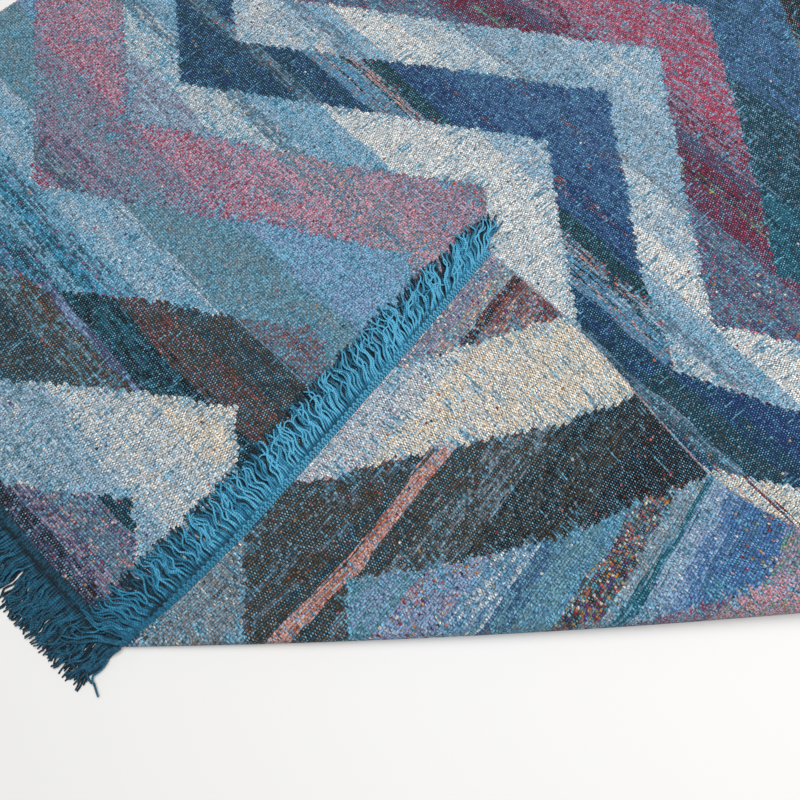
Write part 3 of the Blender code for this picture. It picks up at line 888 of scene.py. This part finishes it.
# How the strands differ: length, place along the knot, turn of the whole strand and of its tip,
# and the waves' turns and lengths. The upper layers turn more, by the second number.
LENGTHS = (0.98, 1.2)
SPREAD_UNEVEN = 0.2
WANDER = (0.06, 0.07)
CURL = (0.22, 0.38)
LONG_TURNS = (0.2, 0.4)
LOOSER_TURN = 0.2
LONG_LENGTHS = (0.03, 0.042)
SHORT_TURNS = (0.08, 0.3)
SHORT_LENGTHS = (0.011, 0.018)
# Neighbours share the long wave: its start drifts to and fro by this many radians, once in
# 440 mm of the fringe, and differs from strand to strand by this many more
SHARED_TURN = 5.0
SHARED_REACH = 0.07
START_UNEVEN = 1.0
# Share of the loose strands whose tips hook round, and how far they do
HOOKED = 0.05
HOOKS = (1.6, 2.8)
# A strand comes down from its knot over this length, and then rides up and down a little
DROP = 0.012
HOPS = (0.0002, 0.0018)
HOP_LENGTH = 0.03
# Knots gather in clumps of so many, and lean together by this much. The lowest strands follow
# the clump less.
CLUMP_SIZES = (2, 3, 3, 4, 5)
CLUMP_TURN = 0.09
GATHER = 0.03
GATHER_UNEVEN = 0.02
LOWEST_CLUMPED = 0.25
# Heights over the surface below at which the strands' painted shade is near black, and gone; the
# painted shade at a strand's sides against its top; the spread from strand to strand; the tone of
# the heading's stitches, and the painted shade of the cords beneath them
SHADED = (0.0028, 0.0071)
SHADED_CURVE = 1.5
SIDE_SHADE = 0.58
UNEVEN_TONES = (0.5, 1.12)
BEAD_TONE = 0.78
CORD_SHADE = 0.2
# Step for finding how an edge runs, and halvings for finding where the loop crosses it
EDGE_STEP = 0.001
HALVINGS = 50


def edge_frame(u, end):
    """Root point on the end edge, the way its warps leave it, and the way along the edge."""
    v = end * LENGTH / 2
    root = cloth_point(u, v)
    outward = (root - cloth_point(u, v - end * EDGE_STEP)).normalized()
    sideways = (cloth_point(u + EDGE_STEP, v) - cloth_point(u - EDGE_STEP, v)).normalized()
    return root, outward, sideways


def crease_u(arc_wanted):
    """Loom place on the near end where the loop has a given arc length."""
    low, high = -WIDTH / 2, WIDTH / 2
    for _ in range(HALVINGS):
        middle = (low + high) / 2
        if loop_arc(*to_fold(lay(middle, -LENGTH / 2))) < arc_wanted:
            low = middle
        else:
            high = middle
    return (low + high) / 2


def strand_path(u, end, support, lean, tier, spread, steps, draw):
    """Centre line of a strand: it drops from its knot and wanders off over the surface."""
    root, outward, sideways = edge_frame(u, end)
    level = Vector((outward.x, outward.y, 0)).normalized()
    aside = Vector((sideways.x, sideways.y, 0)).normalized()
    length = (FRINGE - HEADING) * draw.uniform(*LENGTHS)
    loose = tier / 2
    layer = support + STRAND / 2 + LAYER * tier * draw.uniform(*LAYER_UNEVEN)
    start = root + outward * KNOT_REACH + aside * spread
    wander = lean + draw.gauss(0, WANDER[0] + WANDER[1] * loose)
    long_turn = draw.uniform(*LONG_TURNS) + LOOSER_TURN * loose
    long_length = draw.uniform(*LONG_LENGTHS)
    long_start = SHARED_TURN * math.sin(u / SHARED_REACH)
    long_start += draw.uniform(-START_UNEVEN, START_UNEVEN)
    waves = (
        (long_turn, long_length, long_start),
        (draw.uniform(*SHORT_TURNS), draw.uniform(*SHORT_LENGTHS), draw.uniform(0, 2 * math.pi)),
    )
    curl = draw.gauss(0, CURL[0] + CURL[1] * loose)
    if loose and draw.random() < HOOKED:
        curl = draw.choice((-1, 1)) * draw.uniform(*HOOKS)
    hop = draw.uniform(*HOPS)
    hop_turn = draw.uniform(0, 2 * math.pi)
    points = []
    place = start
    for step in range(steps + 1):
        share = step / steps
        along = length * share
        drop = smooth(along / DROP)
        rise = max(outward.z, 0) * along * math.exp(-along / DROP)
        z = start.z * (1 - drop) + layer * drop + rise
        z += drop * hop * (0.5 + 0.5 * math.sin(2 * math.pi * along / HOP_LENGTH + hop_turn))
        points.append((place.x, place.y, max(z, support + STRAND / 2)))
        turn = wander + curl * share**3
        for reach, wavelength, phase in waves:
            turn += smooth(share * 3) * reach * math.sin(2 * math.pi * along / wavelength + phase)
        place = place + (level * math.cos(turn) + aside * math.sin(turn)) * length / steps
    return points


def clump_leans(count, draw):
    """Lean of each knot's strands: knots in a clump turn toward the clump's middle."""
    leans = []
    while len(leans) < count:
        size = draw.choice(CLUMP_SIZES)
        turn = draw.gauss(0, CLUMP_TURN)
        for member in range(size):
            gather = (size - 1) / 2 - member
            leans.append(turn + gather * GATHER + draw.gauss(0, GATHER_UNEVEN))
    return leans[:count]


def sweep_tubes(paths, sides, thickness):
    """Vertices, faces and UVs of closed round strands along paths of equal step counts."""
    lines = np.array(paths)
    count, rings, _ = lines.shape
    tangents = np.gradient(lines, axis=1)
    tangents /= np.linalg.norm(tangents, axis=2, keepdims=True)
    side = np.cross(tangents, (0.0, 0.0, 1.0))
    side /= np.linalg.norm(side, axis=2, keepdims=True)
    up = np.cross(side, tangents)
    share = np.linspace(0, 1, rings)
    radius = thickness / 2 * (1 - TAPER * share**3)
    turn = np.arange(sides) * 2 * np.pi / sides
    ring = np.cos(turn)[:, None] * side[:, :, None] + np.sin(turn)[:, None] * up[:, :, None]
    verts = lines[:, :, None] + ring * radius[:, None, None]
    tips = np.stack((lines[:, 0], lines[:, -1] + tangents[:, -1] * thickness * TAPER), axis=1)
    gaps = np.linalg.norm(np.diff(lines, axis=1), axis=2)
    run = np.concatenate((np.zeros((count, 1)), np.cumsum(gaps, axis=1)), axis=1)
    each = rings * sides + 2
    points = np.concatenate((verts.reshape(count, -1, 3), tips), axis=1).reshape(-1, 3)
    faces = []
    uvs = []
    for strand in range(count):
        base = strand * each
        for k in range(rings - 1):
            for s in range(sides):
                t = (s + 1) % sides
                low, high = base + k * sides, base + (k + 1) * sides
                faces.append((low + s, low + t, high + t, high + s))
                for along, around in ((k, s), (k, s + 1), (k + 1, s + 1), (k + 1, s)):
                    uvs.append((around / sides, run[strand, along]))
        for s in range(sides):
            t = (s + 1) % sides
            last = base + (rings - 1) * sides
            faces.append((base + t, base + s, base + each - 2))
            faces.append((last + s, last + t, base + each - 1))
            uvs += [((s + 1) / sides, 0.0), (s / sides, 0.0), (s / sides, 0.0)]
            uvs += [(s / sides, run[strand, -1])] * 3
    return points.tolist(), faces, uvs


def bead_mesh(places):
    """Vertices, faces and UVs of oval beads, each given by its middle and three half axes."""
    template = bmesh.new()
    bmesh.ops.create_uvsphere(
        template, u_segments=BEAD_CUTS[0], v_segments=BEAD_CUTS[1], radius=1.0
    )
    unit = np.array([vert.co[:] for vert in template.verts])
    shape = []
    for face in template.faces:
        corners = [vert.index for vert in face.verts]
        lowest = corners.index(min(corners))
        shape.append(corners[lowest:] + corners[:lowest])
    shape.sort()
    template.free()
    points = []
    faces = []
    uvs = []
    for index, (_, middle, axes) in enumerate(places):
        points += (unit @ np.array(axes) + np.array(middle)).tolist()
        for face in shape:
            faces.append([corner + index * len(unit) for corner in face])
            uvs += [(0.5 + unit[corner][1] / 2, BEAD_RUN * unit[corner][0]) for corner in face]
    return points, faces, uvs


def heading_beads(first, last, end):
    """Stitches of the twined heading in three slanted rows, and the knots outside them."""
    rows = [
        (reach, slant * STITCH_SLANT, STITCH_PITCH, STITCH_SIZE) for reach, slant in STITCH_ROWS
    ]
    rows.append((KNOT_REACH, 0.0, KNOT_PITCH, KNOT_SIZE))
    places = []
    for reach, slant, pitch, size in rows:
        count = round((last - first) / pitch)
        for index in range(count):
            u = first + (last - first) * (index + 0.5) / count
            root, outward, sideways = edge_frame(u, end)
            up = sideways.cross(outward) * end
            along = sideways * math.cos(slant) + outward * math.sin(slant)
            middle = root + outward * reach + up * (HEADING_THICK - CLOTH) / 2
            over = up.cross(along) if slant else outward
            axes = (along * size[0], over * size[1], up * size[2])
            places.append((u, middle, axes))
    return places


def heading_cords(first, last, end):
    """Centre lines of the cords that the heading's stitches are twined over."""
    runs = []
    for reach in CORD_REACHES:
        run = []
        for step in range(CORD_STEPS + 1):
            root, outward, _ = edge_frame(first + (last - first) * step / CORD_STEPS, end)
            run.append((root + outward * reach)[:])
        runs.append(run)
    return runs


def knot_fringe(name, first, last, end, support, seed, tiers, sides, steps, sweep, shade_and_tone):
    """One fringe: its heading, its knots and all their strands, as one piece."""
    draw = random.Random(seed)
    count = round((last - first) / KNOT_PITCH)
    clumps = clump_leans(count, draw)
    paths = []
    shade_levels = []
    for index, clump in enumerate(clumps):
        u = first + (last - first) * (index + 0.5) / count
        swept = float(np.interp(u - first, *zip(*sweep)))
        for tier, abreast in enumerate(tiers):
            lean = swept + clump * (1.0 if tier else LOWEST_CLUMPED)
            for place in range(abreast):
                off = draw.uniform(-SPREAD_UNEVEN, SPREAD_UNEVEN)
                spread = ((place + 0.5 + off) / abreast - 0.5) * KNOT_PITCH
                paths.append(strand_path(u, end, support, lean, tier, spread, steps, draw))
                # Each strand takes the painted shade and tone of its place along the fringe
                shade_levels.append(float(np.interp(u - first, *zip(*shade_and_tone))))
    points, faces, uvs = sweep_tubes(paths, sides, STRAND)
    # Painted shade: a strand is darker the lower it lies over the surface below, and darker at its
    # sides than on its top
    heights = np.array(points)[:, 2] - support
    uneven = [lightness * draw.uniform(*UNEVEN_TONES) for lightness in shade_levels]
    raised = np.clip((heights - SHADED[0]) / (SHADED[1] - SHADED[0]), 0, 1)
    turn = np.sin(np.arange(sides) * 2 * np.pi / sides)
    side_shading = SIDE_SHADE + (1 - SIDE_SHADE) * np.clip(turn / turn.max(), 0, 1)
    side_shading = np.tile(np.append(np.tile(side_shading, steps + 1), (1.0, 1.0)), len(paths))
    tones = [side_shading * raised**SHADED_CURVE * np.repeat(uneven, len(points) // len(paths))]
    cords = sweep_tubes(heading_cords(first, last, end), sides, CORD)
    # The cords are painted dark, as shade under the stitches
    tones.append(np.full(len(cords[0]), CORD_SHADE * shade_and_tone[-1][1]))
    places = heading_beads(first, last, end)
    beads = bead_mesh(places)
    shade_levels = [float(np.interp(u - first, *zip(*shade_and_tone))) for u, _, _ in places]
    tones.append(np.repeat(shade_levels, len(beads[0]) // len(places)) * BEAD_TONE)
    for more in (cords, beads):
        faces += [[corner + len(points) for corner in face] for face in more[1]]
        points += more[0]
        uvs += more[2]
    mesh = bpy.data.meshes.new(name)
    mesh.from_pydata(points, [], faces)
    layer = mesh.uv_layers.new(name="strand")
    layer.data.foreach_set("uv", np.array(uvs).ravel())
    tone_layer = mesh.attributes.new("shade_and_tone", "FLOAT", "POINT")
    tone_layer.data.foreach_set("value", np.concatenate(tones))
    mesh.shade_smooth()
    fringe = bpy.data.objects.new(name, mesh)
    bpy.context.scene.collection.objects.link(fringe)
    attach(fringe, "root")
    return fringe


# The dye is uneven over some 6 mm, the two plies turn once in 6 mm, and tufts of fibre are 0.7 mm
DYE_PATCHES = 160.0
DYE_UNEVEN = 0.14
PLY_TURN = 0.006
STRAND_TUFTS = 1500.0
STRAND_FIBRES = 0.6
PLY_RELIEF = 0.0004


def warp_material():
    """Two-ply wool dyed turquoise: a soft sheen on its rounds, painted shade in its grooves, and
    painted shade near black between strands.
    """
    made = bpy.data.materials.new("turquoise_warp_wool")
    made.use_nodes = True
    tree = made.node_tree
    shader = tree.nodes["Principled BSDF"]
    strand = node(tree, "ShaderNodeUVMap", uv_map="strand")
    parts = node(tree, "ShaderNodeSeparateXYZ", strand)
    where = node(tree, "ShaderNodeTexCoord").outputs["Object"]
    dye = node(tree, "ShaderNodeTexNoise", {"Vector": where, "Scale": DYE_PATCHES, "Detail": 3.0})
    # Each vertex's tone holds painted shade, by height, side and place along the fringe, times each
    # strand's own tone; low tones map to near black
    shade_and_tone = node(tree, "ShaderNodeAttribute", attribute_name="shade_and_tone")
    uneven = node(
        tree, "ShaderNodeMapRange",
        {"Value": dye.outputs["Fac"], "From Min": 0.3, "From Max": 0.7, "To Min": -DYE_UNEVEN,
         "To Max": DYE_UNEVEN},
    )
    shaded_tone = node(tree, "ShaderNodeMath", shade_and_tone.outputs["Fac"], uneven, operation="ADD")
    colour = node(tree, "ShaderNodeValToRGB", shaded_tone)
    shade_levels = ((0.0, "#0b2430"), (0.55, "#277b9f"), (1.0, "#5cb4d8"))
    set_stops(colour, [(at, linear(wool)) for at, wool in shade_levels], "LINEAR")
    # Painted shade darkens the grooves between the two plies as they turn
    turns = node(tree, "ShaderNodeMath", parts.outputs[1], 1 / PLY_TURN, operation="MULTIPLY")
    spiral = node(tree, "ShaderNodeMath", parts.outputs[0], turns, operation="ADD")
    angle = node(tree, "ShaderNodeMath", spiral, 4 * math.pi, operation="MULTIPLY")
    ply = node(tree, "ShaderNodeMath", angle, operation="SINE")
    groove_shade = node(
        tree, "ShaderNodeMapRange", {"Value": ply, "From Min": -1.0, "To Min": 0.62, "To Max": 1.05}
    )
    toned = node(
        tree, "ShaderNodeVectorMath",
        {0: colour.outputs["Color"], "Scale": groove_shade}, operation="SCALE",
    )
    tree.links.new(toned.outputs[0], shader.inputs["Base Color"])
    fibres = node(
        tree, "ShaderNodeTexNoise", {"Vector": where, "Scale": STRAND_TUFTS, "Detail": 2.0}
    )
    raised = node(
        tree, "ShaderNodeMath", fibres.outputs["Fac"], STRAND_FIBRES, ply, operation="MULTIPLY_ADD"
    )
    relief = node(
        tree, "ShaderNodeBump", {"Height": raised, "Strength": 0.6, "Distance": PLY_RELIEF}
    )
    tree.links.new(relief.outputs[0], shader.inputs["Normal"])
    # The rounds of the plies have more sheen than the grooves between them
    matt = node(
        tree, "ShaderNodeMapRange", {"Value": ply, "From Min": -1.0, "To Min": 0.74, "To Max": 0.6}
    )
    tree.links.new(matt.outputs[0], shader.inputs["Roughness"])
    shader.inputs["Specular IOR Level"].default_value = 0.25
    shader.inputs["Sheen Weight"].default_value = 0.06
    shader.inputs["Sheen Roughness"].default_value = 0.5
    return made


# Lean of the strands toward +u, by distance from the fringe's first knot: level along an end,
# swept round the fold's tip on the turned corner, and fanned out at the corner itself. The near
# end's strands are painted darker than the far end's as shade, and on the turned corner painted
# shade is deepest by the fold and lifts away from it.
STRAIGHT = ((0.0, 0.0), (WIDTH, 0.0))
FAR_TONE = ((0.0, 0.9), (WIDTH, 0.9))
NEAR_SHADE = ((0.0, 0.36), (WIDTH, 0.36))
TURNED_SHADE = ((0.0, 0.46), (0.1, 0.78), (0.25, 1.24), (0.72, 1.3))
SWEPT = (
    (0.0, -0.6), (0.04, -0.3), (0.1, 0.05), (0.3, 0.25), (0.45, 0.42), (0.6, 0.7), (0.68, 0.95),
    (0.72, 1.2),
)
dyed_warp = warp_material()
crease = crease_u(math.pi / 2)
side = WIDTH / 2
far_fringe = knot_fringe(
    "knotted_fringe_far", -side, side, end=1, support=0.0, seed=11, tiers=(2, 2, 2), sides=5,
    steps=8, sweep=STRAIGHT, shade_and_tone=FAR_TONE,
)
near_fringe = knot_fringe(
    "knotted_fringe_near", -side, crease, end=-1, support=0.0, seed=12, tiers=(4, 3, 2), sides=5,
    steps=13, sweep=STRAIGHT, shade_and_tone=NEAR_SHADE,
)
turned_fringe = knot_fringe(
    "knotted_fringe_turned", crease, side, end=-1, support=LOCK_LIFT, seed=13, tiers=(3, 2, 2),
    sides=6, steps=18, sweep=SWEPT, shade_and_tone=TURNED_SHADE,
)
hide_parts("fringe_far_end")
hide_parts("fringe_near_end")
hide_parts("fringe_turned_corner")
fringes = [far_fringe, near_fringe, turned_fringe]
for fringe in fringes:
    fringe.data.materials.append(dyed_warp)

# The floor: a plain pale sheet of studio board, matt, on which the rug lies
FLOOR_SIZE = 14.0
FLOOR_GAP = 0.0002
BOARD_ROUGHNESS = 0.8
floor_maker = bmesh.new()
bmesh.ops.create_grid(floor_maker, x_segments=1, y_segments=1, size=FLOOR_SIZE / 2)
floor_mesh = bpy.data.meshes.new("floor")
floor_maker.to_mesh(floor_mesh)
floor_maker.free()
floor = bpy.data.objects.new("floor", floor_mesh)
floor.location.z = -FLOOR_GAP
bpy.context.scene.collection.objects.link(floor)
board = bpy.data.materials.new("pale_studio_board")
board.use_nodes = True
board_shader = board.node_tree.nodes["Principled BSDF"]
board_shader.inputs["Base Color"].default_value = linear("#e2e1df")
board_shader.inputs["Roughness"].default_value = BOARD_ROUGHNESS
floor_mesh.materials.append(board)

# The camera stands over the turned corner, and the light is a wide soft box and a pale room
LOOK_AT = Vector((0.0993, -0.7014, 0.0))
BEARING = math.radians(-43.9)
TILT = math.radians(16)
DISTANCE = 0.8086
LENS = 28.0
SENSOR = 36.0
camera_data = bpy.data.cameras.new("camera")
camera_data.lens = LENS
camera_data.sensor_width = SENSOR
camera = bpy.data.objects.new("camera", camera_data)
toward = Vector((math.cos(BEARING), math.sin(BEARING), 0)) * math.sin(TILT)
toward.z = math.cos(TILT)
camera.location = LOOK_AT + toward * DISTANCE
camera.rotation_mode = "QUATERNION"
camera.rotation_quaternion = (-toward).to_track_quat("-Z", "Y")
bpy.context.scene.collection.objects.link(camera)
bpy.context.scene.camera = camera

BOX_SIZE = 2.8
BOX_PLACE = Vector((0.5, 0.5, 4.2))
BOX_POWER = 232.0
ROOM_LIGHT = 0.27
box_data = bpy.data.lights.new("soft_box", "AREA")
box_data.shape = "SQUARE"
box_data.size = BOX_SIZE
box_data.energy = BOX_POWER
box = bpy.data.objects.new("soft_box", box_data)
box.location = BOX_PLACE
bpy.context.scene.collection.objects.link(box)

room = bpy.data.worlds.new("pale_room")
room.use_nodes = True
background = room.node_tree.nodes["Background"]
background.inputs["Color"].default_value = linear("#f4f6fa")
background.inputs["Strength"].default_value = ROOM_LIGHT
bpy.context.scene.world = room
bpy.context.scene.view_settings.view_transform = "Standard"
